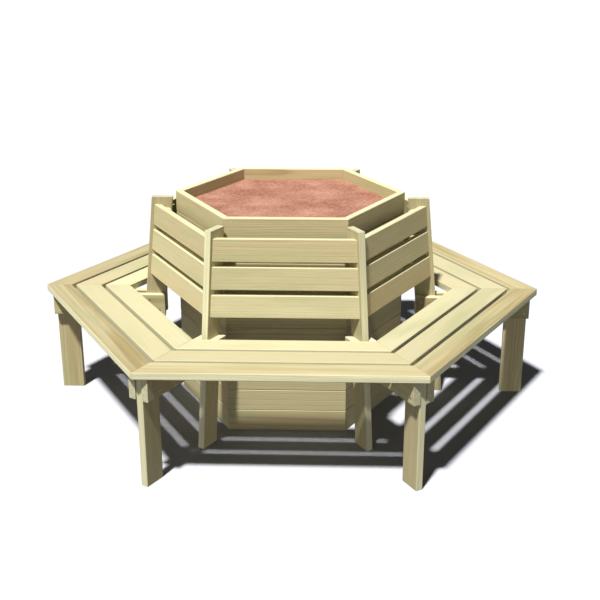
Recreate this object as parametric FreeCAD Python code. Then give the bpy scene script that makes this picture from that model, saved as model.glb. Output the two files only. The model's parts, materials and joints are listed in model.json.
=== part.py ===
import FreeCAD, Part
import os
from math import atan, cos, degrees, radians, sin, tan

# Six-sided garden bench round a tall planter box. Millimetres, +Z up, origin on the ground at the centre.
# Two local frames are used. In a corner's frame +X points out through the corner. In a side's frame
# +X points out through the middle of the side. Each piece is made once and turned into its places.

# Sizes of the bench
board_thickness = 28.0
edge_radius = 3.0
seat_height = 461.0
slat_width = 90.0
slat_gap = 16.5
slat_names = ("inner", "middle", "outer")
slat_mitre_gap = 1.0
seat_to_post_gap = 71.5
leg_width = 90.0
leg_setback = 38.0
bearer_depth = 90.0
bearer_setback = 33.5

# Sizes of the backrest
post_width = 84.0
post_rake = 5.82
post_horn = 30.0
back_board_width = 86.0
back_board_gap = 20.5
back_board_count = 3
back_start = 56.0
back_recess = 14.0
cleat_depth = 24.0
cleat_length = 26.0
cleat_height = 66.0
cleat_screw_rise = 16.5

# Sizes of the planter
planter_radius = 462.0
post_clearance = 13.0
wall_thickness = 27.0
course_count = 10
course_width = 86.0
course_gap = 1.0
wall_mitre_gap = 0.6
batten_width = 45.0
batten_thickness = 28.0
bracket_seams = (2, 7)
bracket_height = 40.0
bracket_thickness = 3.0
bracket_arm = 27.0
soil_drop = 49.0
dressing_depth = 40.0
dressing_over_battens = 10.0
soil_depth = 350.0
liner_thickness = 1.5
liner_corner_room = 1.5
floor_board_count = 8
floor_board_thickness = 28.0
floor_board_gap = 6.0
ledger_height = 45.0
ledger_thickness = 28.0
ledger_screw_spacing = 120.0

# Sizes of the screws
screw_radius = 2.5
screw_head_radius = 4.5
screw_head_rim = 0.6
screw_point = 6.0
screw_bite = 18.0
socket_sides = 6
socket_radius = 1.9
socket_depth = 2.0
hole_clearance = 0.2
counterbore_radius = 5.5
counterbore_roof = 30.0
screw_room = 18.0

# Where two screws sit across a board, as shares of its width
screw_shares = (0.25, 0.75)

# How far a cutting shape runs past what it cuts, and what counts as a cut or as an edge along the grain
overshoot = 1.0
least_cut = 1.0
grain_tolerance = 1.0

# A hexagon has six corners, 60 degrees apart
corner_count = 6
half_turn = 180.0 / corner_count
spread = cos(radians(half_turn))
slope = tan(radians(half_turn))
up = FreeCAD.Vector(0, 0, 1)
origin = FreeCAD.Vector(0, 0, 0)

# Places that follow from the sizes
seat_underside = seat_height - board_thickness
bearer_bottom = seat_underside - bearer_depth
post_half = board_thickness / 2
bearer_middle = post_half + board_thickness / 2
lean = tan(radians(post_rake))
back_lean = lean * spread
back_angle = degrees(atan(back_lean))
back_bottom = seat_height + back_start
back_pitch = back_board_width + back_board_gap
back_top = back_bottom + (back_pitch * back_board_count - back_board_gap) * cos(radians(back_angle))
post_height = back_top + post_horn
post_span = post_width / cos(radians(post_rake))
post_foot_radius = planter_radius + post_clearance + post_span + lean * post_height
slat_inner_radius = post_foot_radius - lean * seat_height + seat_to_post_gap
slat_pitch = slat_width + slat_gap
seat_radius = slat_inner_radius + (slat_pitch * len(slat_names) - slat_gap) / spread
leg_outer = seat_radius - leg_setback
leg_inner = leg_outer - leg_width
course_pitch = course_width + course_gap
planter_height = course_count * course_pitch - course_gap
wall_outer = planter_radius * spread
wall_inner = wall_outer - wall_thickness
wall_inner_radius = wall_inner / spread
dressing_top = planter_height - soil_drop
dressing_bottom = dressing_top - dressing_depth
soil_bottom = dressing_bottom - soil_depth
floor_top = soil_bottom - liner_thickness
floor_bottom = floor_top - floor_board_thickness
ledger_bottom = floor_bottom - ledger_height
batten_top = dressing_top - dressing_over_battens
batten_inner = wall_inner - batten_thickness
batten_end = wall_inner * slope - batten_width
batten_screw_y = (batten_end + batten_inner * slope) / 2
bracket_tip_radius = batten_inner / spread - bracket_thickness / spread - bracket_arm / 2
liner_corner_radius = bracket_tip_radius - liner_corner_room


def post_outer(height):
    """Distance from the centre to a back post's outer edge at a height."""
    return post_foot_radius - lean * height


def post_inner(height):
    """Distance from the centre to a back post's inner edge at a height."""
    return post_outer(height) - post_span


def back_face(height):
    """Distance from the centre to the backrest boards' front face at a height, in a side's frame."""
    return (post_outer(height) - back_recess) * spread + post_half * sin(radians(half_turn))


def box(low, high):
    """A plain block between two corners."""
    size = FreeCAD.Vector(*high) - FreeCAD.Vector(*low)
    return Part.makeBox(size.x, size.y, size.z, FreeCAD.Vector(*low))


def prism(points, bottom, top):
    """An upright prism over an outline in the ground plane."""
    outline = [FreeCAD.Vector(x, y, bottom) for x, y in points]
    face = Part.Face(Part.makePolygon(outline + outline[:1]))
    return face.extrude(FreeCAD.Vector(0, 0, top - bottom))


def ease_edges(shape, grain):
    """Rounds the edges that run along the grain."""
    long_edges = []
    for edge in shape.Edges:
        direction = edge.tangentAt(edge.FirstParameter)
        if abs(direction.dot(grain)) > cos(radians(grain_tolerance)):
            long_edges.append(edge)
    return shape.makeFillet(edge_radius, long_edges)


def turned(shape, angle):
    """A copy turned about the upright axis, in degrees."""
    copy = shape.copy()
    copy.rotate(origin, up, angle)
    return copy


def mirrored(shape):
    """The same shape on the other side of the X axis."""
    return shape.mirror(origin, FreeCAD.Vector(0, 1, 0))


def side_wedge(clearance, bottom, top):
    """The space of one side, in its own frame, kept clear of the planes through its two corners."""
    reach = seat_radius * 2
    half_width = reach * slope - clearance / spread
    tip = clearance / sin(radians(half_turn))
    return prism([(tip, 0), (reach, -half_width), (reach, half_width)], bottom, top)


def revolved(profile):
    """A solid turned about the Z axis from points of radius and height."""
    points = [FreeCAD.Vector(radius, 0, height) for radius, height in profile]
    face = Part.Face(Part.makePolygon(points + points[:1]))
    return face.revolve(origin, up, 360)


def placed(shape, point, direction):
    """A copy whose +Z axis is laid along a direction, from a point."""
    turn = FreeCAD.Rotation(up, FreeCAD.Vector(*direction))
    placement = FreeCAD.Placement(FreeCAD.Vector(*point), turn)
    return shape.transformed(placement.toMatrix(), True)


def screw(length):
    """A countersunk wood screw along +Z, with the top of its head at the origin."""
    cone_end = screw_head_rim + screw_head_radius - screw_radius
    body = revolved([
        (0, 0),
        (screw_head_radius, 0),
        (screw_head_radius, screw_head_rim),
        (screw_radius, cone_end),
        (screw_radius, length - screw_point),
        (0, length),
    ])
    angles = [radians(360 * step / socket_sides) for step in range(socket_sides)]
    socket = [(socket_radius * cos(angle), socket_radius * sin(angle)) for angle in angles]
    return body.cut(prism(socket, -overshoot, socket_depth))


def screw_hole(length):
    """The hole that takes a screw of this length, with its countersink."""
    head = screw_head_radius + hole_clearance
    shank = screw_radius + hole_clearance
    mouth = screw_head_rim + hole_clearance
    end = length + hole_clearance
    return revolved([
        (0, -overshoot),
        (head, -overshoot),
        (head, mouth),
        (shank, mouth + head - shank),
        (shank, end - screw_point),
        (0, end),
    ])


class Fixings:
    """Screws that go in from one face, with the holes they need."""

    def __init__(self):
        self.screws = []
        self.holes = []

    def add(self, point, direction, length, access=0.0):
        """Sets a screw at a point, with a round way in behind its head if it is sunk."""
        self.screws.append(placed(screw(length), point, direction))
        self.holes.append(placed(screw_hole(length), point, direction))
        if access:
            way_in = Part.makeCylinder(counterbore_radius, access + overshoot)
            back = [-part for part in direction]
            self.holes.append(placed(way_in, point, back))

    def turned(self, angle):
        """The same fixings, turned about the upright axis."""
        copy = Fixings()
        copy.screws = [turned(shape, angle) for shape in self.screws]
        copy.holes = [turned(shape, angle) for shape in self.holes]
        return copy


def drilled(shape, *groups):
    """A piece with the holes of every fixing that reaches it."""
    for group in groups:
        for hole in group.holes:
            if shape.BoundBox.intersect(hole.BoundBox):
                if shape.common(hole).Volume > least_cut:
                    shape = shape.cut(hole)
    return shape


def all_screws(groups):
    """The screws of several groups of fixings, as one list."""
    return [shape for group in groups for shape in group.screws]


def save(name, shapes):
    """Writes one node: a solid, or a group of separate solids."""
    solids = [solid for shape in shapes for solid in shape.Solids]
    for solid in solids:
        if not solid.isValid():
            raise ValueError(name + " has a solid that is not valid")
    node = solids[0] if len(solids) == 1 else Part.makeCompound(solids)
    node.exportStep(os.path.join("parts", name + ".step"))
    print(name, len(solids), "solids", round(sum(solid.Volume for solid in solids) / 1000), "cm3")


def every_corner(shapes):
    """Copies of the shapes of one corner or side at all of them."""
    steps = range(corner_count)
    return [turned(shape, 2 * half_turn * step) for step in steps for shape in shapes]


def slat_radius(index):
    """Distance from the centre to the corner of a slat's centre line, counted from the inner slat."""
    return slat_inner_radius + (slat_pitch * index + slat_width / 2) / spread


def bearer_fixings(hand):
    """Screws from one bearer into the leg and the post, and up into the slats, in a corner's frame."""
    into_frame = Fixings()
    outer_face = hand * (post_half + board_thickness)
    heights = [bearer_bottom + bearer_depth * share for share in screw_shares][::hand]
    length = board_thickness + screw_bite
    seat_screw = slat_radius(len(slat_names) - 1) - bearer_middle * slope
    leg_spots = [(leg_inner + seat_screw) / 2, (seat_screw + leg_outer) / 2]
    for spot, height in zip(leg_spots, heights):
        into_frame.add((spot, outer_face, height), (0, -hand, 0), length)
    for share, height in zip(screw_shares, heights):
        spot = post_inner(height) + post_span * share
        into_frame.add((spot, outer_face, height), (0, -hand, 0), length)
    into_slats = Fixings()
    head = seat_underside - counterbore_roof
    for index in range(len(slat_names)):
        spot = slat_radius(index) - bearer_middle * slope
        point = (spot, hand * bearer_middle, head)
        into_slats.add(point, (0, 0, 1), counterbore_roof + screw_bite, head - bearer_bottom)
    return into_frame, into_slats


def back_board_base(index):
    """Height of the lower front edge of a backrest board."""
    return back_bottom + back_pitch * index * cos(radians(back_angle))


def raked(shape, base):
    """Leans an upright piece of the backrest in, and brings its front face to the boards' plane."""
    shape.rotate(origin, FreeCAD.Vector(0, 1, 0), -back_angle)
    shape.translate(FreeCAD.Vector(back_face(base), 0, base))
    return shape


def cleat(index):
    """The cleat behind the +Y end of a backrest board, in a side's frame."""
    reach = seat_radius
    low = (back_board_width - cleat_height) / 2
    block = box((-board_thickness - cleat_depth, 0, low), (-board_thickness, reach, low + cleat_height))
    block = raked(block, back_board_base(index))
    beside_post = box((0, -post_half - cleat_length, 0), (reach, -post_half, post_height))
    return block.common(turned(beside_post, half_turn))


def cleat_fixings(index, hand):
    """Screws of one cleat, into the post and into the board, in a side's frame."""
    into_post_and_board = Fixings()
    middle = back_board_width / 2
    step_up = hand * cleat_screw_rise
    tilt = radians(back_angle)
    inward = board_thickness + cleat_depth / 2
    rise = middle + step_up
    base = back_board_base(index)
    x = back_face(base) - inward * cos(tilt) - rise * sin(tilt)
    height = base - inward * sin(tilt) + rise * cos(tilt)
    y = x * slope - (post_half + cleat_length / 2) / spread
    across = (-sin(radians(half_turn)), cos(radians(half_turn)))
    back_off = cleat_length / 2
    point = (x - across[0] * back_off, hand * (y - across[1] * back_off), height)
    direction = (across[0], hand * across[1], 0)
    into_post_and_board.add(point, direction, cleat_length + screw_bite)
    inward = board_thickness + cleat_depth
    rise = middle - step_up
    x = back_face(base) - inward * cos(tilt) - rise * sin(tilt)
    height = base - inward * sin(tilt) + rise * cos(tilt)
    x_middle = x + cleat_depth / 2 * cos(tilt)
    y = x_middle * slope - (post_half + cleat_length / 2) / spread
    into_post_and_board.add((x, hand * y, height), (cos(tilt), 0, sin(tilt)), cleat_depth + screw_bite)
    return into_post_and_board


def wall_fixings():
    """Screws of one planter wall, from its battens and from its ledger, in a side's frame."""
    outward = (1, 0, 0)
    from_battens = Fixings()
    for course in range(course_count):
        low = course * course_pitch
        high = min(low + course_width, batten_top)
        if high - low >= screw_room:
            for hand in (-1, 1):
                point = (batten_inner, hand * batten_screw_y, (low + high) / 2)
                from_battens.add(point, outward, batten_thickness + screw_bite)
    from_ledger = Fixings()
    middle = ledger_bottom + ledger_height / 2
    for step in (-1, 0, 1):
        point = (wall_inner - ledger_thickness, step * ledger_screw_spacing, middle)
        from_ledger.add(point, outward, ledger_thickness + screw_bite)
    return from_battens, from_ledger


def bracket_fixings(hand):
    """Screws of the corner brackets into the battens beside one corner, in a corner's frame."""
    into_batten = Fixings()
    tip = batten_inner / spread
    along = (-sin(radians(half_turn)), hand * cos(radians(half_turn)))
    outward = (cos(radians(half_turn)), hand * sin(radians(half_turn)), 0)
    x = tip + along[0] * bracket_arm / 2 - outward[0] * bracket_thickness
    y = along[1] * bracket_arm / 2 - outward[1] * bracket_thickness
    for seam in bracket_seams:
        point = (x, y, seam * course_pitch)
        into_batten.add(point, outward, bracket_thickness + screw_bite)
    return into_batten


def bracket(seam):
    """A steel strip bent round the inside of one planter corner, in the corner's frame."""
    outer_tip = batten_inner / spread
    inner_tip = outer_tip - bracket_thickness / spread
    end_x = bracket_arm * sin(radians(half_turn))
    end_y = bracket_arm * spread
    step_x = bracket_thickness * spread
    step_y = bracket_thickness * sin(radians(half_turn))
    outline = [
        (outer_tip, 0),
        (outer_tip - end_x, end_y),
        (outer_tip - end_x - step_x, end_y - step_y),
        (inner_tip, 0),
        (outer_tip - end_x - step_x, step_y - end_y),
        (outer_tip - end_x, -end_y),
    ]
    middle = seam * course_pitch
    return prism(outline, middle - bracket_height / 2, middle + bracket_height / 2)


def lined_outline(inset):
    """The planter's inside at the liner: a hexagon with its corners cut off, set in by a thickness."""
    side = wall_inner - inset
    corner = liner_corner_radius - inset
    half_cut = (side / spread - corner) / slope
    points = []
    for step in range(corner_count):
        angle = radians(2 * half_turn * step)
        for offset in (-half_cut, half_cut):
            x = corner * cos(angle) - offset * sin(angle)
            y = corner * sin(angle) + offset * cos(angle)
            points.append((x, y))
    return points


def hexagon(radius):
    """The corners of a hexagon, the first one on the X axis."""
    angles = [radians(2 * half_turn * step) for step in range(corner_count)]
    return [(radius * cos(angle), radius * sin(angle)) for angle in angles]


def make_seat(into_slats, numbers):
    """Three mitred slats on each side, which sit on the bearers."""
    wedge = side_wedge(slat_mitre_gap / 2, seat_underside - overshoot, seat_height + overshoot)
    from_corners = [into_slats[1].turned(-half_turn), into_slats[-1].turned(half_turn)]
    for index, name in enumerate(slat_names):
        low = slat_inner_radius * spread + slat_pitch * index
        half_length = (low + slat_width) * slope
        slat = box((low, -half_length, seat_underside), (low + slat_width, half_length, seat_height))
        slat = ease_edges(slat, FreeCAD.Vector(0, 1, 0)).common(wedge)
        slat = drilled(slat, *from_corners)
        for number in numbers:
            save(f"seat_slat_{name}_{number}", [turned(slat, half_turn * (2 * number - 1))])


def make_corner_frames(into_frame, into_slats, into_backrest, numbers):
    """At each corner a leg and a raked post, held between two bearers."""
    leg = ease_edges(box((leg_inner, -post_half, 0), (leg_outer, post_half, seat_underside)), up)
    leg = drilled(leg, into_frame[1], into_frame[-1])
    outline = [
        FreeCAD.Vector(post_outer(0), -post_half, 0),
        FreeCAD.Vector(post_outer(post_height), -post_half, post_height),
        FreeCAD.Vector(post_inner(post_height), -post_half, post_height),
        FreeCAD.Vector(post_inner(0), -post_half, 0),
    ]
    face = Part.Face(Part.makePolygon(outline + outline[:1]))
    post = face.extrude(FreeCAD.Vector(0, board_thickness, 0))
    grain = FreeCAD.Vector(-sin(radians(post_rake)), 0, cos(radians(post_rake)))
    post = ease_edges(post, grain)
    cleat_sides = [group.turned(-half_turn) for group in into_backrest[1]]
    cleat_sides += [group.turned(half_turn) for group in into_backrest[-1]]
    post = drilled(post, into_frame[1], into_frame[-1], *cleat_sides)
    bearer_start = post_inner(bearer_bottom + bearer_depth / 2)
    bearer_end = seat_radius - bearer_setback
    low = (bearer_start, post_half, bearer_bottom)
    high = (bearer_end, post_half + board_thickness, seat_underside)
    blank = ease_edges(box(low, high), FreeCAD.Vector(1, 0, 0))
    bearers = [
        drilled(blank, into_frame[1], into_slats[1]),
        drilled(mirrored(blank), into_frame[-1], into_slats[-1]),
    ]
    for number in numbers:
        angle = 2 * half_turn * (number - 1)
        save(f"outer_leg_{number}", [turned(leg, angle)])
        save(f"back_post_{number}", [turned(post, angle)])
        save(f"seat_bearers_{number}", [turned(bearer, angle) for bearer in bearers])


def make_backrest(into_backrest, numbers):
    """Boards between the posts, cut to the posts' faces, with a cleat behind each end."""
    wedge = side_wedge(post_half, 0, post_height)
    boards = []
    cleats = []
    for index in range(back_board_count):
        fixings = [into_backrest[-1][index], into_backrest[1][index]]
        reach = seat_radius / 2
        board = box((-board_thickness, -reach, 0), (0, reach, back_board_width))
        board = ease_edges(board, FreeCAD.Vector(0, 1, 0))
        board = raked(board, back_board_base(index)).common(wedge)
        boards.append(drilled(board, *fixings))
        block = cleat(index)
        cleats.append(drilled(block, fixings[1]))
        cleats.append(drilled(mirrored(block), fixings[0]))
    for number in numbers:
        angle = half_turn * (2 * number - 1)
        save(f"backrest_boards_{number}", [turned(board, angle) for board in boards])
    save("backrest_cleats", [turned(block, half_turn) for block in every_corner(cleats)])


def make_planter(from_battens, from_ledger, into_batten, numbers):
    """Six walls of boards on battens, joined at the corners by steel brackets."""
    wedge = side_wedge(wall_mitre_gap / 2, 0, planter_height)
    half_length = wall_outer * slope
    boards = []
    for course in range(course_count):
        low = course * course_pitch
        lower_end = (wall_inner, -half_length, low)
        upper_end = (wall_outer, half_length, low + course_width)
        board = ease_edges(box(lower_end, upper_end), FreeCAD.Vector(0, 1, 0)).common(wedge)
        boards.append(drilled(board, from_battens, from_ledger))
    for number in numbers:
        angle = half_turn * (2 * number - 1)
        save(f"planter_wall_{number}", [turned(board, angle) for board in boards])
    blank = box((batten_inner, batten_end, 0), (wall_inner, half_length, batten_top)).common(wedge)
    near = into_batten[-1].turned(half_turn)
    far = into_batten[1].turned(-half_turn)
    battens = [drilled(blank, from_battens, near), drilled(mirrored(blank), from_battens, far)]
    save("planter_battens", [turned(batten, half_turn) for batten in every_corner(battens)])
    brackets = [drilled(bracket(seam), into_batten[1], into_batten[-1]) for seam in bracket_seams]
    save("planter_corner_brackets", every_corner(brackets))


def make_planter_floor(from_ledger, into_ledger):
    """Ledgers on the walls and floor boards across them."""
    low = (wall_inner - ledger_thickness, -batten_end, ledger_bottom)
    high = (wall_inner, batten_end, floor_bottom)
    ledger = drilled(box(low, high), from_ledger)
    ledgers = [turned(ledger, half_turn * (2 * step + 1)) for step in range(corner_count)]
    save("planter_floor_ledgers", [drilled(ledger, into_ledger) for ledger in ledgers])
    room = prism(lined_outline(0), floor_bottom, floor_top)
    boards = []
    for middle, width in floor_board_places():
        low = (middle - width / 2, -planter_radius, floor_bottom)
        strip = box(low, (middle + width / 2, planter_radius, floor_top))
        boards.append(drilled(strip.common(room), into_ledger))
    save("planter_floor_boards", boards)


def floor_board_places():
    """The middle and the width of each floor board."""
    gaps = (floor_board_count - 1) * floor_board_gap
    width = (2 * liner_corner_radius - gaps) / floor_board_count
    first = width / 2 - liner_corner_radius
    return [(first + index * (width + floor_board_gap), width) for index in range(floor_board_count)]


def floor_fixings():
    """A screw down through each end of each floor board into the ledger under it."""
    into_ledger = Fixings()
    line = wall_inner - ledger_thickness / 2
    for middle, width in floor_board_places():
        on_slanted_side = (line - abs(middle) * spread) / sin(radians(half_turn))
        reach = min(line, on_slanted_side)
        for hand in (-1, 1):
            point = (middle, hand * reach, floor_top)
            into_ledger.add(point, (0, 0, -1), floor_board_thickness + screw_bite)
    return into_ledger


def make_filling():
    """The liner tray, the soil in it, and the top dressing, which covers the battens' ends."""
    tray = prism(lined_outline(0), floor_top, dressing_bottom)
    room = prism(lined_outline(liner_thickness), soil_bottom, dressing_bottom)
    save("planter_liner", [tray.cut(room)])
    save("planter_soil", [room])
    dressing = prism(hexagon(wall_inner_radius), dressing_bottom, dressing_top)
    low = (batten_inner, batten_end, dressing_bottom - overshoot)
    pocket = box(low, (wall_outer, wall_outer * slope, batten_top))
    pockets = [turned(shape, half_turn) for shape in every_corner([pocket, mirrored(pocket)])]
    save("planter_top_dressing", [dressing.cut(pockets)])


def main():
    """Makes every node."""
    os.makedirs("parts", exist_ok=True)
    numbers = range(1, corner_count + 1)
    into_frame = {}
    into_slats = {}
    into_backrest = {}
    into_batten = {}
    for hand in (1, -1):
        into_frame[hand], into_slats[hand] = bearer_fixings(hand)
        into_backrest[hand] = [cleat_fixings(index, hand) for index in range(back_board_count)]
        into_batten[hand] = bracket_fixings(hand)
    from_battens, from_ledger = wall_fixings()
    into_ledger = floor_fixings()
    make_seat(into_slats, numbers)
    make_corner_frames(into_frame, into_slats, into_backrest, numbers)
    make_backrest(into_backrest, numbers)
    make_planter(from_battens, from_ledger, into_batten, numbers)
    make_planter_floor(from_ledger, into_ledger)
    make_filling()
    seat_groups = [into_frame[1], into_frame[-1], into_slats[1], into_slats[-1]]
    save("seat_frame_screws", every_corner(all_screws(seat_groups)))
    back_screws = every_corner(all_screws(into_backrest[1] + into_backrest[-1]))
    save("backrest_screws", [turned(shape, half_turn) for shape in back_screws])
    wall_screws = every_corner(from_battens.screws)
    save("planter_wall_screws", [turned(shape, half_turn) for shape in wall_screws])
    ledger_screws = [turned(shape, half_turn) for shape in every_corner(from_ledger.screws)]
    bracket_screws = every_corner(all_screws(into_batten.values()))
    save("planter_inner_screws", ledger_screws + bracket_screws + into_ledger.screws)


main()
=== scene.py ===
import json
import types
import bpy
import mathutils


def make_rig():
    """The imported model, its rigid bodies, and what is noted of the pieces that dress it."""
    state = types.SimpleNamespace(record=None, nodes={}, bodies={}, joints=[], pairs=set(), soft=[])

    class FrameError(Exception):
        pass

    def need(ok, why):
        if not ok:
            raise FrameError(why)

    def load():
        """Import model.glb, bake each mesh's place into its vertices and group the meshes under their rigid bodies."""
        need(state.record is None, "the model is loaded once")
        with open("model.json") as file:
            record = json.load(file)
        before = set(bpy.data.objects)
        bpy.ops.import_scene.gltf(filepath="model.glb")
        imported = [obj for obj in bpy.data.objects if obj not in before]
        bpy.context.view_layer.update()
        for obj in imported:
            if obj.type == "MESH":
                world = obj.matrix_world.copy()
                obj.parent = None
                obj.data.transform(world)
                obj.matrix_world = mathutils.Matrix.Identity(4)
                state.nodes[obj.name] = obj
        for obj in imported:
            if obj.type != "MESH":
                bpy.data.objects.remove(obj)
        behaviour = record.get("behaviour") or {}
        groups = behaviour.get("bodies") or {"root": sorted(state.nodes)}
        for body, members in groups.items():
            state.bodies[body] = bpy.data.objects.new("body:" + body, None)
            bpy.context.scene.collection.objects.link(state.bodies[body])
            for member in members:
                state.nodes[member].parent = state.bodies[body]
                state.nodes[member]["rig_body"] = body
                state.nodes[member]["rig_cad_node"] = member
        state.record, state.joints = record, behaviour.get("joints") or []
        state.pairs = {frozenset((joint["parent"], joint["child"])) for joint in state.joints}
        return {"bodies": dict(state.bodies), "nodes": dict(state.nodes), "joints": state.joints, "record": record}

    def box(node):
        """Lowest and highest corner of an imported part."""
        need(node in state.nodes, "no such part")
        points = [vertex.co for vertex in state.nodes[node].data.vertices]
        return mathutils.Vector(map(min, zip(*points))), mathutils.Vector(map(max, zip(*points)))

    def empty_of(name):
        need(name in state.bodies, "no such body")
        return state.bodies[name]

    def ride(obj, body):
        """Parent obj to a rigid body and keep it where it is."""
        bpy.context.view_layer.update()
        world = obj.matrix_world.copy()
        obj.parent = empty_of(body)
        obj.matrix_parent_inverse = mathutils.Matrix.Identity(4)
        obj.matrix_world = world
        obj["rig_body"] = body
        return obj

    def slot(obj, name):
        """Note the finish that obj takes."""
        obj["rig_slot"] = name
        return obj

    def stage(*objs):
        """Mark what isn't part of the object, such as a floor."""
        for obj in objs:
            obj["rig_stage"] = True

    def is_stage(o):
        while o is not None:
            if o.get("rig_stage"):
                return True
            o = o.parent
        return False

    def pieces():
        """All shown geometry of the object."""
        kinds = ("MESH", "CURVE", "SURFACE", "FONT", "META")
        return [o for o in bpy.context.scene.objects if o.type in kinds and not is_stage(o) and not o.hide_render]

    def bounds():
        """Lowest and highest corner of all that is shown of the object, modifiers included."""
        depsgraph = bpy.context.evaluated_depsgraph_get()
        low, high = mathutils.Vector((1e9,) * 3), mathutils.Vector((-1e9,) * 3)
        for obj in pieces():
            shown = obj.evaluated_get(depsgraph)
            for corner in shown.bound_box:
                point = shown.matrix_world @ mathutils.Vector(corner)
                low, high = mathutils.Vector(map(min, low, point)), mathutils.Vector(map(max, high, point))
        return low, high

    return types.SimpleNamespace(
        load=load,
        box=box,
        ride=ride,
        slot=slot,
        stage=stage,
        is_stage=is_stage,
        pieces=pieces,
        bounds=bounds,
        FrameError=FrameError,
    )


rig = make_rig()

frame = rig.load()
cad_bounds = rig.bounds()

import json
from collections import namedtuple
from math import cos, radians, sin

import bpy
import numpy as np
from mathutils import Matrix, Vector

bl_info = {
    "name": "Tree bench with planter",
    "version": (1, 0, 0),
    "blender": (4, 5, 0),
    "location": "3D View > Sidebar > Tree bench",
    "description": "Finishes a six-sided timber bench and the planter inside it, and sets up their stage",
    "category": "Object",
}

# The bench is a hexagon about the Z axis. Corner 1 lies on +X and side 2 faces +Y, so their boxes give the
# distances along the boards' own directions. All lengths are in metres. The backrest leans, and BACK_GAP is
# the upright distance from the box of one of its boards to the next. A point counts as at the top of its
# piece when it is less than NEAR_TOP under that
NUMBERS = range(1, 7)
SECTOR = radians(60)
SLATS = ("inner", "middle", "outer")
COURSES = 10
COURSE_GAP = 0.001
BACK_BOARDS = 3
BACK_GAP = 0.018
FLOOR_BOARDS = 8
NEAR_TOP = 0.001

# A number for each kind of board, which sets where its growth lines, streaks and tones fall
SEEDS = {
    "slats": 1508,
    "legs": 898,
    "posts": 2837,
    "bearers": 4,
    "back_boards": 3594,
    "cleats": 6,
    "planter_boards": 31,
    "ledgers": 8,
    "battens": 9,
    "floor_boards": 10,
}


def linear(hex_colour):
    """The linear colour of an sRGB hex value, with an alpha of one."""
    parts = [int(hex_colour[start:start + 2], 16) / 255 for start in (1, 3, 5)]
    return (*[part / 12.92 if part <= 0.04045 else ((part + 0.055) / 1.055) ** 2.4 for part in parts], 1.0)


def colour_of(name, hex_colour, description):
    """A colour that a user can change."""
    return bpy.props.FloatVectorProperty(
        name=name, description=description, subtype="COLOR", size=4, min=0, max=1,
        default=linear(hex_colour))


def length_of(name, default, description):
    """A length that a user can change, in metres."""
    return bpy.props.FloatProperty(
        name=name, description=description, subtype="DISTANCE", unit="LENGTH", min=0, default=default,
        precision=4)


def number_of(name, default, description):
    """A plain number that a user can change."""
    return bpy.props.FloatProperty(name=name, description=description, min=0, default=default)


def angle_of(name, degrees, description):
    """An angle that a user can change."""
    return bpy.props.FloatProperty(
        name=name, description=description, subtype="ANGLE", default=radians(degrees))


def place_of(name, default, description):
    """A point that a user can change, in metres."""
    return bpy.props.FloatVectorProperty(
        name=name, description=description, subtype="TRANSLATION", unit="LENGTH", default=default)


class TimberSettings(bpy.types.PropertyGroup):
    """Colours and grain of the pressure-treated softwood."""
    earlywood: colour_of("Earlywood", "#C8BC90", "The pale wood between the growth lines")
    latewood: colour_of("Latewood", "#A38C60", "The growth lines")
    heartwood: colour_of("Heartwood", "#A38F5C", "Broad brown streaks in some boards")
    salt_green: colour_of("Treatment green", "#A6A976", "Patches that took up more of the preservative")
    edge: colour_of("Edge", "#D5CFA8", "The narrow edges, which are planed across the rings and paler")
    tan: colour_of("Tan", "#E6C6A6", "Tint of the boards that dried to a warmer colour")
    ring_width: length_of("Ring width", 0.0065, "Thickness of one year's growth")
    seat_tone: number_of("Seat tone", 0.80, "Lightness of the inner seat slats")
    seat_edge_tone: number_of("Seat edge tone", 1.08, "Lightness of the seat's outermost edges")
    back_tone: number_of("Backrest tone", 0.905, "Lightness of the backrest boards")
    frame_tone: number_of("Frame tone", 0.70, "Lightness of the darkest of the legs, posts and bearers")
    frame_edge_tone: number_of("Frame edge tone", 0.96, "Lightness of the narrow edges of legs and posts")
    wall_tone: number_of("Planter tone", 0.78, "Lightness of the planter's boards")


class DressingSettings(bpy.types.PropertyGroup):
    """Relief and colours of the crushed terracotta on the soil."""
    grit: length_of("Grit", 0.0045, "Distance between neighbouring points of the surface")
    grit_height: length_of("Grit height", 0.0014, "How far single points stand up")
    hill_height: length_of("Hill height", 0.0030, "How far the surface rises and falls in all")
    pale: colour_of("Pale grains", "#B88A75", "The palest grains")
    deep: colour_of("Deep grains", "#84503C", "The deepest grains")


class InsideSettings(bpy.types.PropertyGroup):
    """Colours of what lies inside the planter, and of the fixings."""
    soil: colour_of("Soil", "#2E2118", "Moist compost")
    liner: colour_of("Liner", "#1B1C1C", "Black polythene")
    zinc: colour_of("Zinc", "#968A6A", "Dulled yellow-passivated zinc on screws and brackets")


class StageSettings(bpy.types.PropertyGroup):
    """Floor, lights and camera."""
    floor: colour_of("Floor", "#88898D", "Plain floor, which its lights make white")
    floor_size: length_of("Floor size", 600.0, "Length of the floor's sides")
    key_place: place_of("Key direction", (-0.187, -0.400, 0.897), "Direction towards the key light")
    key_angle: angle_of("Key size", 4.0, "Apparent size of the key light")
    key_strength: number_of("Key strength", 6.1, "Strength of the key light")
    floor_key_strength: number_of("Floor key strength", 7.8, "Strength of the light on the floor alone")
    fill_strength: number_of("Fill strength", 1.1, "Strength of the soft light from all round")
    glow_side: place_of("Glow side", (-0.4, -0.2, 0.0), "How much stronger the soft light is from this side")
    camera_place: place_of("Camera", (0.1765, -4.2215, 1.9812), "Where the camera stands")
    camera_target: place_of("Target", (0.0397, 0.0, 0.4010), "The point in the middle of the view")
    camera_roll: angle_of("Roll", -0.07, "Turn about the line of sight")
    camera_lens: number_of("Lens", 64.74, "Focal length in millimetres")


SETTINGS = {
    "bench_timber": TimberSettings,
    "bench_dressing": DressingSettings,
    "bench_inside": InsideSettings,
    "bench_stage": StageSettings,
}


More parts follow.
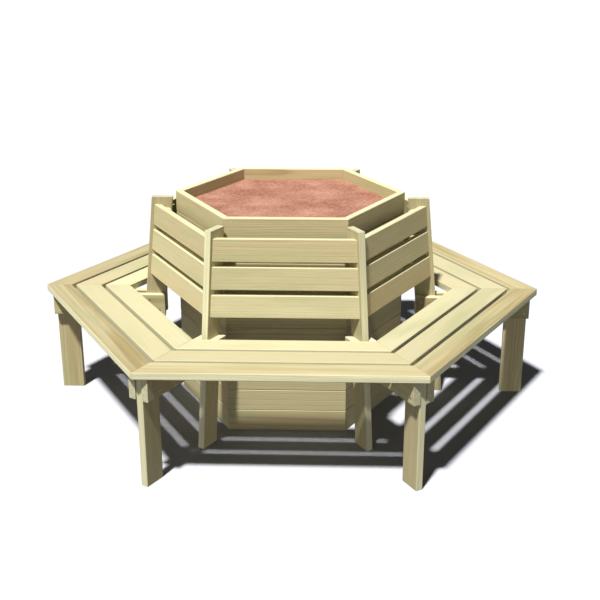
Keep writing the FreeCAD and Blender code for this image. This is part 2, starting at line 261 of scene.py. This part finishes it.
def add(tree, kind, *inputs, **settings):
    """Adds a shader node and gives its first output.

    Settings go by name. Inputs fill the open sockets in order, each with a value or a link from another
    node's socket, and None leaves one as it is."""
    node = tree.nodes.new("ShaderNode" + kind)
    for name, value in settings.items():
        setattr(node, name, value)
    for socket, value in zip([socket for socket in node.inputs if socket.enabled], inputs):
        if isinstance(value, bpy.types.NodeSocket):
            tree.links.new(value, socket)
        elif value is not None:
            socket.default_value = value
    return next((socket for socket in node.outputs if socket.enabled), None)


def grade(ramp, stops):
    """Sets a colour ramp's greys, each at its position."""
    elements = ramp.color_ramp.elements
    for _ in stops[len(elements):]:
        elements.new(0.5)
    for element, (position, grey) in zip(elements, stops):
        element.position = position
        element.color = (grey, grey, grey, 1)


def new_material(name):
    """An empty node material and its tree."""
    material = bpy.data.materials.new(name)
    material.use_nodes = True
    material.node_tree.nodes.clear()
    return material, material.node_tree


def finish_surface(tree, colour, roughness, height, relief, **constants):
    """Ends a material with a colour, a roughness and a height.

    Relief is the height's range in metres, and the constants are the shader's sockets that are the same all
    over."""
    normal = add(tree, "Bump", 1.0, relief, None, height)
    shader = add(tree, "BsdfPrincipled").node
    for name, value in constants.items():
        shader.inputs[name.replace("_", " ")].default_value = value
    tree.links.new(colour, shader.inputs["Base Color"])
    tree.links.new(roughness, shader.inputs["Roughness"])
    tree.links.new(normal, shader.inputs["Normal"])
    add(tree, "OutputMaterial", shader.outputs[0])


# Nearly all of a noise's values lie between these, about their mean. Its detail is how much finer noise it
# holds: hardly any, or some
NOISE = (0.3, 0.7)
NOISE_MEAN = 0.5
SMOOTH = 1.0
DETAILED = 2.0

# The finishes that are mottled with one fine noise: the size of its crumbs, creases, clouds, grains or
# flecks, its detail, the lightness and the roughness that it gives, and the depth of its relief. Lightness
# and roughness are each given as the noise's two ends and the values there
Mottle = namedtuple("Mottle", "size detail lightness roughness relief")
COMPOST = Mottle(0.0055, 4.0, (*NOISE, 0.6, 1.4), (0.0, 1.0, 0.85, 1.0), 0.003)
LINER = Mottle(0.033, 3.0, (*NOISE, 0.8, 1.3), (*NOISE, 0.35, 0.5), 0.002)
ZINC = Mottle(0.0033, DETAILED, (*NOISE, 0.85, 1.1), (*NOISE, 0.5, 0.65), 0.00005)
TERRACOTTA = Mottle(0.0038, 3.0, (*NOISE, 0.8, 1.18), (*NOISE, 0.8, 0.95), 0.0012)
PAPER = Mottle(0.011, DETAILED, (*NOISE, 0.99, 1.0), (*NOISE, 0.9, 1.0), 0.00002)


def finish_mottled(tree, colour, mottle, **constants):
    """Ends a material with a colour whose lightness, roughness and height follow one fine noise."""
    place = add(tree, "TexCoord").node.outputs["Object"]
    noise = add(tree, "TexNoise", place, 1 / mottle.size, mottle.detail)
    lightness = add(tree, "MapRange", noise, *mottle.lightness)
    colour = add(tree, "VectorMath", colour, lightness, operation="SCALE")
    roughness = add(tree, "MapRange", noise, *mottle.roughness)
    finish_surface(tree, colour, roughness, noise, mottle.relief, **constants)


def sector_frame(tree, at_corners):
    """The surface's place and normal in the frame of the side, or of the corner, that it is in.

    X then points straight out from the axis, Y along the side, and Z up. A side's sector runs from one
    corner to the next, and a corner's from the middle of one side to the middle of the next. Also gives the
    sector's number."""
    place = add(tree, "TexCoord").node.outputs["Object"]
    x, y, _ = add(tree, "SeparateXYZ", place).node.outputs
    bearing = add(tree, "Math", y, x, operation="ARCTAN2")
    count = add(tree, "Math", bearing, 1 / SECTOR, 0.5 if at_corners else 0.0, operation="MULTIPLY_ADD")
    whole = add(tree, "Math", count, operation="FLOOR")
    number = add(tree, "Math", whole, float(len(NUMBERS)), operation="FLOORED_MODULO")
    middle = 0.0 if at_corners else -SECTOR / 2
    turn = add(tree, "Math", whole, -SECTOR, middle, operation="MULTIPLY_ADD")
    normal = add(tree, "NewGeometry").node.outputs["Normal"]
    turned = []
    for vector in (place, normal):
        spun = add(tree, "VectorRotate", vector, None, turn, rotation_type="Z_AXIS")
        turned.append(add(tree, "SeparateXYZ", spun).node.outputs)
    return turned[0], turned[1], number


def in_boards(tree, coordinate, start, pitch, count):
    """Splits a coordinate into boards: the board's number, and the distance from the middle of its place."""
    from_start = add(tree, "Math", coordinate, start, operation="SUBTRACT")
    share = add(tree, "Math", from_start, pitch, operation="DIVIDE")
    number = add(tree, "Clamp", add(tree, "Math", share, operation="FLOOR"), 0.0, count - 1.0)
    middle = add(tree, "Math", number, pitch, start + pitch / 2, operation="MULTIPLY_ADD")
    return number, add(tree, "Math", coordinate, middle, operation="SUBTRACT")


# Where the heart of the log lies from a board's middle: up to this far to one side, this far under it, and
# this steep to it. Good and bad years shift the lines by up to YEAR_SPREAD ring widths, and change over some
# YEARS_ALIKE years. Over a YEAR, latewood comes on slowly and ends sharply
HEART_SIDE = 0.25
HEART_DEPTH = (0.025, 0.115)
HEART_SLOPE = 0.015
YEAR_SPREAD = 1.6
YEARS_ALIKE = 2.2
YEAR = ((0.0, 0.0), (0.35, 0.08), (0.72, 0.5), (0.9, 1.0), (1.0, 0.0))


def growth_rings(tree, place, own, wave, ring_width):
    """How far the surface is into latewood, from 0 to 1.

    The rings are cylinders about the heart of the log, a line that passes under the board and to one side
    and tilts a little, waved by noise. So most faces show near-parallel lines, a few show arches, and a sawn
    end shows arcs."""
    along, across, through = place
    wave_x, wave_y, _ = add(tree, "SeparateXYZ", wave).node.outputs
    side = add(tree, "MapRange", own[0], 0.0, 1.0, -HEART_SIDE, HEART_SIDE)
    slope = add(tree, "MapRange", own[1], 0.0, 1.0, -HEART_SLOPE, HEART_SLOPE)
    under = add(tree, "MapRange", own[2], 0.0, 1.0, *HEART_DEPTH)
    width = add(tree, "Math", add(tree, "Math", across, side, operation="SUBTRACT"), wave_x, operation="ADD")
    depth = add(tree, "Math", add(tree, "Math", through, under, operation="ADD"), wave_y, operation="ADD")
    depth = add(tree, "Math", along, slope, depth, operation="MULTIPLY_ADD")
    radius = add(tree, "VectorMath", add(tree, "CombineXYZ", width, depth, 0.0), operation="LENGTH")
    years = add(tree, "Math", radius, ring_width, operation="DIVIDE")
    uneven = add(tree, "TexNoise", years, 1 / YEARS_ALIKE, SMOOTH, noise_dimensions="1D")
    years = add(tree, "Math", uneven, YEAR_SPREAD, years, operation="MULTIPLY_ADD")
    ramp = add(tree, "ValToRGB", add(tree, "Math", years, operation="FRACT")).node
    grade(ramp, YEAR)
    return ramp.outputs["Color"]


# Softwood patterns: their length along the grain, their width across it, and the noise's detail. The wave
# bends the growth lines, by up to half its height. Single fibres are too fine to show, so they are drawn as
# bundles. Then come fine streaks, the patches that the preservative leaves, and bands of heartwood. Each
# board takes its patterns from a place of its own, up to BOARD_SHIFT along them
BOARD_SHIFT = 40.0
WAVE = (0.714, 0.125, SMOOTH)
WAVE_HEIGHT = 0.016
PATTERNS = {
    "fibre": (0.100, 0.00238, 3.0),
    "streak": (0.625, 0.0133, DETAILED),
    "patch": (0.588, 0.111, DETAILED),
    "heart": (0.769, 0.050, DETAILED),
}

# Where each trait of softwood starts and is full on the scale that it follows, and how strong it is at each.
# The surface's height is the fibres' plus LATE_RISE times the growth lines', over a depth of GRAIN_RELIEF
GROWTH_LINES = (0.35, 0.7, 0.25, 0.95)
BOARD_TAN = (0.3, 1.0, 0.0, 0.25)
PATCH_TAN = (0.6, 0.4, 0.4, 1.5)
GREEN = (0.5, 0.75, 0.0, 0.6)
BANDS = (0.5, 0.66, 0.0, 1.0)
BOARD_BANDS = (0.2, 0.8, 0.3, 1.0)
EDGE_ON = (0.6, 0.9, 0.0, 1.0)
STREAKS = (*NOISE, -1.0, 1.0)
FIBRE_TONE = (*NOISE, 0.94, 1.05)
END_TONE = (0.75, 0.95, 1.0, 0.8)
SHEEN = (0.0, 1.0, 0.72, 0.6)
LATE_RISE = 0.5
GRAIN_RELIEF = 0.0004


# How a kind of board looks: the lightness of its faces and of its narrow edges, how pale its wood is, how
# much brown heartwood it shows, how strong its lengthwise streaks are, and how much lighter the lightest
# such board is. Most kinds show no heartwood and faint streaks
Look = namedtuple("Look", "tone edge_tone pale heart streaks spread", defaults=(0.0, 0.0, 0.03, 0.14))


def grain_noise(tree, grain, length, width, detail):
    """Noise that is drawn out along the grain."""
    stretched = add(tree, "VectorMath", grain, (1 / length, 1 / width, 1 / width), operation="MULTIPLY")
    return add(tree, "TexNoise", stretched, 1.0, detail)


def treated_softwood(tree, settings, look, kind, place, facing, board):
    """Planed pine or spruce after pressure treatment.

    place and facing are the surface's place and normal as (along the grain, across the width, through the
    thickness), and board is the two numbers (sector, board) that set every board apart from the others."""
    # To the eye: dry, matt, pale yellow wood with a green cast, low contrast growth lines along each board,
    # soft olive brown streaks in some, and paler narrow edges and sawn ends
    along, across, through = place
    end_on, edge_on = [add(tree, "Math", part, operation="ABSOLUTE") for part in facing[:2]]
    luck = add(tree, "TexWhiteNoise", add(tree, "CombineXYZ", *board, float(SEEDS[kind])))
    own = add(tree, "SeparateColor", luck.node.outputs["Color"]).node.outputs
    shifted = add(tree, "Math", luck, BOARD_SHIFT, along, operation="MULTIPLY_ADD")
    grain = add(tree, "CombineXYZ", shifted, across, through)
    wave = grain_noise(tree, grain, *WAVE).node.outputs["Color"]
    wave = add(tree, "VectorMath", wave, (NOISE_MEAN, NOISE_MEAN, NOISE_MEAN), operation="SUBTRACT")
    wave = add(tree, "VectorMath", wave, WAVE_HEIGHT, operation="SCALE")
    late = growth_rings(tree, place, own, wave, settings.ring_width)
    pattern = {name: grain_noise(tree, grain, *sizes) for name, sizes in PATTERNS.items()}

    # Growth lines fade in and out along their length
    strength = add(tree, "MapRange", pattern["streak"], *GROWTH_LINES)
    late_share = add(tree, "Math", late, strength, operation="MULTIPLY")
    colour = add(tree, "Mix", late_share, settings.earlywood, settings.latewood, data_type="RGBA")
    colour = add(tree, "Mix", look.pale, colour, settings.edge, data_type="RGBA")

    # Some boards are tanned, least where the preservative shows green
    board_tan = add(tree, "MapRange", own[2], *BOARD_TAN)
    patch_tan = add(tree, "MapRange", pattern["patch"], *PATCH_TAN)
    tan = add(tree, "Math", board_tan, patch_tan, operation="MULTIPLY")
    colour = add(tree, "Mix", tan, colour, settings.tan, data_type="RGBA", blend_type="MULTIPLY")
    green = add(tree, "MapRange", pattern["patch"], *GREEN)
    colour = add(tree, "Mix", green, colour, settings.salt_green, data_type="RGBA")

    # Heartwood shows as brown bands, more in some boards than in others
    bands = add(tree, "MapRange", pattern["heart"], *BANDS)
    bands = add(tree, "Math", bands, look.heart, operation="MULTIPLY")
    brown = add(tree, "Math", add(tree, "MapRange", own[2], *BOARD_BANDS), bands, operation="MULTIPLY")
    colour = add(tree, "Mix", brown, colour, settings.heartwood, data_type="RGBA")

    # Narrow edges and sawn ends are paler, and ends are darkened a little by their open pores
    edge = add(tree, "MapRange", add(tree, "Math", edge_on, end_on, operation="MAXIMUM"), *EDGE_ON)
    colour = add(tree, "Mix", edge, colour, settings.edge, data_type="RGBA")
    streak = add(tree, "MapRange", pattern["streak"], *STREAKS)
    face_tone = add(tree, "Math", own[1], look.spread, look.tone, operation="MULTIPLY_ADD")
    light = add(tree, "Mix", edge, face_tone, look.edge_tone)
    for share in (
        add(tree, "MapRange", pattern["fibre"], *FIBRE_TONE),
        add(tree, "Math", streak, look.streaks, 1.0, operation="MULTIPLY_ADD"),
        add(tree, "MapRange", end_on, *END_TONE),
    ):
        light = add(tree, "Math", light, share, operation="MULTIPLY")
    colour = add(tree, "VectorMath", colour, light, operation="SCALE")

    roughness = add(tree, "MapRange", late, *SHEEN)
    height = add(tree, "Math", late, LATE_RISE, pattern["fibre"], operation="MULTIPLY_ADD")
    finish_surface(tree, colour, roughness, height, GRAIN_RELIEF, Specular_IOR_Level=0.35, IOR=1.5)


def dress(nodes, material):
    """Gives CAD nodes a material."""
    for node in nodes:
        mesh = frame["nodes"][node].data
        mesh.materials.clear()
        mesh.materials.append(material)


def from_middle(tree, coordinate, low, high):
    """A coordinate measured from halfway between two values."""
    return add(tree, "Math", coordinate, (low + high) / 2, operation="SUBTRACT")


# How looks change from board to board: outwards in the seat, and upwards in the backrest and the planter.
# The planter's lower courses are darker, which is painted shade towards the floor. Where there are two
# numbers, the second is the value at the first board. The seat's streaks are those that only its outer slats
# have, and those that all have
SEAT_TONE_STEP = -0.06
SEAT_PALE = (-0.32, 0.8)
SEAT_STREAKS = (0.13, 0.02)
BACK_TONE_STEP = -0.03
BACK_PALE = (-0.2, 0.4)
PAINTED_WALL_SHADE_STEP = 0.008


class BENCH_OT_seat(bpy.types.Operator):
    """Finishes the mitred seat slats, three on each side"""
    bl_idname = "bench.seat"
    bl_label = "Seat slats"

    def execute(self, context):
        settings = context.scene.bench_timber
        low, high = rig.box("seat_slat_inner_2")
        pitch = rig.box("seat_slat_middle_2")[0].y - low.y
        gap = low.y + pitch - high.y
        material, tree = new_material("treated_softwood_slats")
        (x, y, z), (facing_x, facing_y, facing_z), side = sector_frame(tree, at_corners=False)
        slat, across = in_boards(tree, x, low.y - gap / 2, pitch, len(SLATS))
        through = from_middle(tree, z, low.z, high.z)
        # One on the outer slats, which alone show heartwood, and zero on the others
        outer = add(tree, "Math", slat, len(SLATS) - 1.5, operation="GREATER_THAN")
        tone = add(tree, "Math", slat, SEAT_TONE_STEP, settings.seat_tone, operation="MULTIPLY_ADD")
        pale = add(tree, "Math", slat, *SEAT_PALE, operation="MULTIPLY_ADD")
        streaks = add(tree, "Math", outer, *SEAT_STREAKS, operation="MULTIPLY_ADD")
        outermost = add(tree, "Math", outer, facing_x, operation="MULTIPLY")
        edge_tone = add(tree, "MapRange", outermost, 0.0, 1.0, settings.seat_tone, settings.seat_edge_tone)
        look = Look(tone, edge_tone, pale, heart=outer, streaks=streaks, spread=0.2)
        facing = (facing_y, facing_x, facing_z)
        treated_softwood(tree, settings, look, "slats", (y, across, through), facing, (side, slat))
        dress([f"seat_slat_{row}_{number}" for row in SLATS for number in NUMBERS], material)
        return {"FINISHED"}


class BENCH_OT_corner_frames(bpy.types.Operator):
    """Finishes the outer legs, the raked back posts and the pairs of seat bearers"""
    bl_idname = "bench.corner_frames"
    bl_label = "Legs, posts and bearers"

    def execute(self, context):
        settings = context.scene.bench_timber
        # Each leg and post takes its lightness from its seed within this wide spread. This is partly the wood's own
        # tone and partly painted light: the seeds make the right leg, whose front lies in the seat's shade, lighter
        look = Look(settings.frame_tone, settings.frame_edge_tone, heart=0.6, streaks=0.13, spread=0.4)

        low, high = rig.box("outer_leg_1")
        material, tree = new_material("treated_softwood_legs")
        (x, y, z), (facing_x, facing_y, facing_z), corner = sector_frame(tree, at_corners=True)
        place = (z, from_middle(tree, x, low.x, high.x), y)
        facing = (facing_z, facing_x, facing_y)
        treated_softwood(tree, settings, look, "legs", place, facing, (corner, 0.0))
        dress([f"outer_leg_{number}" for number in NUMBERS], material)

        low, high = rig.box("back_post_1")
        # The post leans inwards by as much as its outer edge does from the foot to the top
        points = frame["nodes"]["back_post_1"].data.vertices
        top_outer = max(point.co.x for point in points if point.co.z > high.z - NEAR_TOP)
        width = top_outer - low.x
        lean = (high.x - top_outer) / high.z
        material, tree = new_material("treated_softwood_posts")
        (x, y, z), (facing_x, facing_y, facing_z), corner = sector_frame(tree, at_corners=True)
        upright = add(tree, "Math", z, lean, x, operation="MULTIPLY_ADD")
        place = (z, from_middle(tree, upright, high.x - width, high.x), y)
        facing = (facing_z, facing_x, facing_y)
        treated_softwood(tree, settings, look, "posts", place, facing, (corner, 0.0))
        dress([f"back_post_{number}" for number in NUMBERS], material)

        low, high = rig.box("seat_bearers_1")
        material, tree = new_material("treated_softwood_bearers")
        (x, y, z), (facing_x, facing_y, facing_z), corner = sector_frame(tree, at_corners=True)
        hand = add(tree, "Math", y, 0.0, operation="GREATER_THAN")
        place = (x, from_middle(tree, z, low.z, high.z), y)
        facing = (facing_x, facing_z, facing_y)
        treated_softwood(tree, settings, look, "bearers", place, facing, (corner, hand))
        dress([f"seat_bearers_{number}" for number in NUMBERS], material)
        return {"FINISHED"}


class BENCH_OT_backrest(bpy.types.Operator):
    """Finishes the backrest boards and the cleats behind their ends"""
    bl_idname = "bench.backrest"
    bl_label = "Backrest"

    def execute(self, context):
        settings = context.scene.bench_timber
        low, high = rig.box("backrest_boards_2")
        pitch = (high.z - low.z + BACK_GAP) / BACK_BOARDS
        for kind, nodes in (
            ("back_boards", [f"backrest_boards_{number}" for number in NUMBERS]),
            ("cleats", ["backrest_cleats"]),
        ):
            material, tree = new_material("treated_softwood_" + kind)
            (x, y, z), (facing_x, facing_y, facing_z), side = sector_frame(tree, at_corners=False)
            board, across = in_boards(tree, z, low.z - BACK_GAP / 2, pitch, BACK_BOARDS)
            place = (y, across, from_middle(tree, x, low.y, high.y))
            facing = (facing_y, facing_z, facing_x)
            tone = add(tree, "Math", board, BACK_TONE_STEP, settings.back_tone, operation="MULTIPLY_ADD")
            pale = add(tree, "Math", board, *BACK_PALE, operation="MULTIPLY_ADD")
            look = Look(tone, settings.back_tone, pale)
            treated_softwood(tree, settings, look, kind, place, facing, (side, board))
            dress(nodes, material)
        return {"FINISHED"}


class BENCH_OT_planter(bpy.types.Operator):
    """Finishes the planter's boards, and the battens, ledgers and floor boards inside it"""
    bl_idname = "bench.planter"
    bl_label = "Planter timber"

    def execute(self, context):
        settings = context.scene.bench_timber
        low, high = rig.box("planter_wall_2")
        pitch = (high.z + COURSE_GAP) / COURSES
        for kind, nodes in (
            ("planter_boards", [f"planter_wall_{number}" for number in NUMBERS]),
            ("ledgers", ["planter_floor_ledgers"]),
        ):
            material, tree = new_material("treated_softwood_" + kind)
            (x, y, z), (facing_x, facing_y, facing_z), side = sector_frame(tree, at_corners=False)
            course, across = in_boards(tree, z, -COURSE_GAP / 2, pitch, COURSES)
            place = (y, across, from_middle(tree, x, low.y, high.y))
            facing = (facing_y, facing_z, facing_x)
            # Painted shade: each course is a little darker than the one above it, the lowest darkest
            tone = add(tree, "Math", course, PAINTED_WALL_SHADE_STEP, settings.wall_tone, operation="MULTIPLY_ADD")
            look = Look(tone, settings.back_tone)
            treated_softwood(tree, settings, look, kind, place, facing, (side, course))
            dress(nodes, material)

        material, tree = new_material("treated_softwood_battens")
        (x, y, z), (facing_x, facing_y, facing_z), corner = sector_frame(tree, at_corners=True)
        hand = add(tree, "Math", y, 0.0, operation="GREATER_THAN")
        look = Look(settings.wall_tone, settings.wall_tone)
        facing = (facing_z, facing_y, facing_x)
        treated_softwood(tree, settings, look, "battens", (z, y, x), facing, (corner, hand))
        dress(["planter_battens"], material)

        low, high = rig.box("planter_floor_boards")
        material, tree = new_material("treated_softwood_floor_boards")
        x, y, z = add(tree, "SeparateXYZ", add(tree, "TexCoord").node.outputs["Object"]).node.outputs
        normal = add(tree, "NewGeometry").node.outputs["Normal"]
        facing_x, facing_y, facing_z = add(tree, "SeparateXYZ", normal).node.outputs
        board, across = in_boards(tree, x, low.x, (high.x - low.x) / FLOOR_BOARDS, FLOOR_BOARDS)
        place = (y, across, from_middle(tree, z, low.z, high.z))
        look = Look(settings.wall_tone, settings.wall_tone)
        facing = (facing_y, facing_x, facing_z)
        treated_softwood(tree, settings, look, "floor_boards", place, facing, (0.0, board))
        dress(["planter_floor_boards"], material)
        return {"FINISHED"}


class BENCH_OT_inside(bpy.types.Operator):
    """Finishes the soil, the liner, the brackets and the screws"""
    bl_idname = "bench.inside"
    bl_label = "Soil, liner and fixings"

    def execute(self, context):
        settings = context.scene.bench_inside
        # Moist compost: dark crumbs, no sheen
        material, tree = new_material("moist_compost")
        finish_mottled(tree, settings.soil[:3], COMPOST, Specular_IOR_Level=0.2)
        dress(["planter_soil"], material)

        # Black polythene sheet: a soft sheen over faint creases
        material, tree = new_material("polythene_liner")
        finish_mottled(tree, settings.liner[:3], LINER)
        dress(["planter_liner"], material)

        # Zinc-plated steel: a dull yellowish metal with small clouds of passivation
        material, tree = new_material("zinc_plated_steel")
        finish_mottled(tree, settings.zinc[:3], ZINC, Metallic=1.0)
        dress(["planter_corner_brackets", "seat_frame_screws", "backrest_screws", "planter_wall_screws",
               "planter_inner_screws"], material)
        return {"FINISHED"}


# The long waves of the terracotta: each one's radians a metre along X and along Y, and where it starts
WAVES = ((19, 7, 1), (-11, 23, 2), (31, 17, 0))


def gritty_hexagon(settings, height, apothem, rng):
    """A gently uneven bed over a hexagon, on a grid of two whole numbers i and j from -n to n.

    The point i, j lies i nth parts of the way to corner 1 plus j nth parts of the way to corner 2, and only
    the points whose i + j is from -n to n are in the hexagon. Its height is the base height, plus half the
    hill height times one plus the mean of the long sine waves over the place, plus a random lift of up to
    the grit height. Gives the points and the triangles."""
    reach = apothem / cos(SECTOR / 2)
    n = round(reach / settings.grit)
    j, i = np.mgrid[-n:n + 1, -n:n + 1]
    inside = np.abs(i + j) <= n
    x = (i + j * cos(SECTOR)) * reach / n
    y = j * sin(SECTOR) * reach / n
    waves = sum(np.sin(along_x * x + along_y * y + start) for along_x, along_y, start in WAVES)
    hills = settings.hill_height * (0.5 + waves / (2 * len(WAVES)))
    z = height + hills + rng.uniform(0, settings.grit_height, x.shape)
    points = np.stack([x, y, z], axis=-1)[inside]
    index = np.full(inside.shape, -1)
    index[inside] = np.arange(len(points))
    here, beside, above, across = index[:-1, :-1], index[:-1, 1:], index[1:, :-1], index[1:, 1:]
    lower = np.stack([here, beside, above], axis=-1)
    upper = np.stack([beside, across, above], axis=-1)
    faces = np.concatenate([lower, upper]).reshape(-1, 3)
    return points, faces[(faces >= 0).all(axis=1)]


# Sizes of the clods and the patches in the crushed terracotta. Their noises add up, the patches' times
# PATCH_SHARE, and between the two ends in PALING the grains go from deep to pale. The surface lies
# CLEAR_OF_WALL from the planter's walls, and LIFT_SEED starts the random lifts of its points
CLOD_SIZE = 0.0133
PATCH_SIZE = 0.111
PATCH_SHARE = 0.5
PALING = (0.3, 1.2)
CLEAR_OF_WALL = 0.0005
LIFT_SEED = 11


class BENCH_OT_top_dressing(bpy.types.Operator):
    """Spreads fine crushed terracotta over the soil"""
    bl_idname = "bench.top_dressing"
    bl_label = "Top dressing"

    def execute(self, context):
        settings = context.scene.bench_dressing
        rng = np.random.default_rng(LIFT_SEED)
        _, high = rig.box("planter_top_dressing")
        points, faces = gritty_hexagon(settings, high.z, high.y - CLEAR_OF_WALL, rng)
        mesh = bpy.data.meshes.new("terracotta_surface")
        mesh.from_pydata(points, [], faces)
        mesh.update()
        surface = bpy.data.objects.new("terracotta_surface", mesh)
        context.scene.collection.objects.link(surface)
        layer = surface.modifiers.new("layer", "SOLIDIFY")
        layer.thickness = settings.grit

        # Fine crushed terracotta: matt salmon, dusty, in softly changing patches
        material, tree = new_material("crushed_terracotta")
        place = add(tree, "TexCoord").node.outputs["Object"]
        clods = add(tree, "TexNoise", place, 1 / CLOD_SIZE, DETAILED)
        patches = add(tree, "TexNoise", place, 1 / PATCH_SIZE, DETAILED)
        share = add(tree, "MapRange", patches, *NOISE)
        share = add(tree, "Math", share, PATCH_SHARE, clods, operation="MULTIPLY_ADD")
        share = add(tree, "MapRange", share, *PALING)
        colour = add(tree, "Mix", share, settings.deep, settings.pale, data_type="RGBA")
        finish_mottled(tree, colour, TERRACOTTA, Specular_IOR_Level=0.3)
        mesh.materials.append(material)
        dress(["planter_top_dressing"], material)
        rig.ride(surface, "root")
        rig.slot(surface, "top_dressing")
        return {"FINISHED"}


# The soft light's stops are heights above its start, where straight up is 1, with their brightness. It
# starts GLOW_START below the horizon, and is tinted a little blue
GLOW = ((0.0, 0.11), (0.01, 0.6), (0.22, 0.6), (0.47, 0.12), (1.0, 0.02))
GLOW_START = 0.02
GLOW_TINT = (0.98, 1.0, 1.03)


class BENCH_OT_stage(bpy.types.Operator):
    """Sets up the floor, the lights and the camera"""
    bl_idname = "bench.stage"
    bl_label = "Stage"

    def execute(self, context):
        scene = context.scene
        settings = scene.bench_stage
        half = settings.floor_size / 2
        corners = [(-half, -half, 0), (half, -half, 0), (half, half, 0), (-half, half, 0)]
        mesh = bpy.data.meshes.new("floor")
        mesh.from_pydata(corners, [], [(0, 1, 2, 3)])
        floor = bpy.data.objects.new("floor", mesh)
        scene.collection.objects.link(floor)
        # Matt paper: even and without sheen, with barely seen flecks
        material, tree = new_material("floor_paper")
        finish_mottled(tree, settings.floor[:3], PAPER, Specular_IOR_Level=0.2)
        mesh.materials.append(material)
        # The photograph's shadows are dark: the floor throws no light back on the bench
        floor.visible_diffuse = False
        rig.stage(floor)

        # Two lights shine from one place, the second on the floor alone, which makes a greyer floor white.
        # So the light that the bench throws into the floor's shadow hardly shows there, as in the photograph
        floor_alone = bpy.data.collections.new("floor_alone")
        floor_alone.objects.link(floor)
        for name, strength, receivers in (
            ("key", settings.key_strength, None),
            ("floor_key", settings.floor_key_strength, floor_alone),
        ):
            light = bpy.data.lights.new(name, "SUN")
            light.energy = strength
            light.angle = settings.key_angle
            key = bpy.data.objects.new(name, light)
            key.matrix_world = Vector(settings.key_place).to_track_quat("Z", "Y").to_matrix().to_4x4()
            key.light_linking.receiver_collection = receivers
            scene.collection.objects.link(key)

        world = bpy.data.worlds.new("soft_fill")
        world.use_nodes = True
        tree = world.node_tree
        background = tree.nodes["Background"]
        background.inputs["Strength"].default_value = settings.fill_strength
        # A cool glow that stands low all round, with a little from below in place of light that the floor
        # throws up. It starts just below the horizon, so no dark band shows behind the floor
        direction = add(tree, "TexCoord").node.outputs["Generated"]
        _, _, up = add(tree, "SeparateXYZ", direction).node.outputs
        ramp = add(tree, "ValToRGB", add(tree, "Math", up, GLOW_START, operation="ADD")).node
        grade(ramp, GLOW)
        nearer = add(tree, "VectorMath", direction, settings.glow_side, operation="DOT_PRODUCT")
        nearer = add(tree, "Math", nearer.node.outputs["Value"], 1.0, operation="ADD")
        glow = add(tree, "VectorMath", ramp.outputs["Color"], GLOW_TINT, operation="MULTIPLY")
        glow = add(tree, "VectorMath", glow, nearer, operation="SCALE")
        tree.links.new(glow, background.inputs["Color"])
        scene.world = world
        scene.view_settings.view_transform = "Standard"

        lens = bpy.data.cameras.new("camera")
        lens.lens = settings.camera_lens
        camera = bpy.data.objects.new("camera", lens)
        place = Vector(settings.camera_place)
        aim = (Vector(settings.camera_target) - place).to_track_quat("-Z", "Y").to_matrix().to_4x4()
        roll = Matrix.Rotation(settings.camera_roll, 4, "Z")
        camera.matrix_world = Matrix.Translation(place) @ aim @ roll
        scene.collection.objects.link(camera)
        scene.camera = camera
        return {"FINISHED"}


OPERATORS = (
    BENCH_OT_seat,
    BENCH_OT_corner_frames,
    BENCH_OT_backrest,
    BENCH_OT_planter,
    BENCH_OT_inside,
    BENCH_OT_top_dressing,
    BENCH_OT_stage,
)


class BENCH_PT_panel(bpy.types.Panel):
    """Lists the settings and the steps"""
    bl_idname = "BENCH_PT_panel"
    bl_label = "Tree bench"
    bl_space_type = "VIEW_3D"
    bl_region_type = "UI"
    bl_category = "Tree bench"

    def draw(self, context):
        for name, group in SETTINGS.items():
            column = self.layout.column(heading=group.__doc__)
            for setting in group.__annotations__:
                column.prop(getattr(context.scene, name), setting)
        for operator in OPERATORS:
            self.layout.operator(operator.bl_idname)


def register():
    for group in SETTINGS.values():
        bpy.utils.register_class(group)
    for name, group in SETTINGS.items():
        setattr(bpy.types.Scene, name, bpy.props.PointerProperty(type=group))
    for operator in OPERATORS:
        bpy.utils.register_class(operator)
    bpy.utils.register_class(BENCH_PT_panel)


def unregister():
    bpy.utils.unregister_class(BENCH_PT_panel)
    for operator in reversed(OPERATORS):
        bpy.utils.unregister_class(operator)
    for name in SETTINGS:
        delattr(bpy.types.Scene, name)
    for group in reversed(SETTINGS.values()):
        bpy.utils.unregister_class(group)


def main():
    """Registers the classes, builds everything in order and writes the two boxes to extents.json."""
    register()
    bpy.ops.bench.seat()
    bpy.ops.bench.corner_frames()
    bpy.ops.bench.backrest()
    bpy.ops.bench.planter()
    bpy.ops.bench.inside()
    bpy.ops.bench.top_dressing()
    bpy.ops.bench.stage()
    visual_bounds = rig.bounds()
    with open("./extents.json", "w") as file:
        json.dump({
            "cad": [list(corner) for corner in cad_bounds],
            "visual": [list(corner) for corner in visual_bounds],
        }, file)


if __name__ == "__main__":
    main()
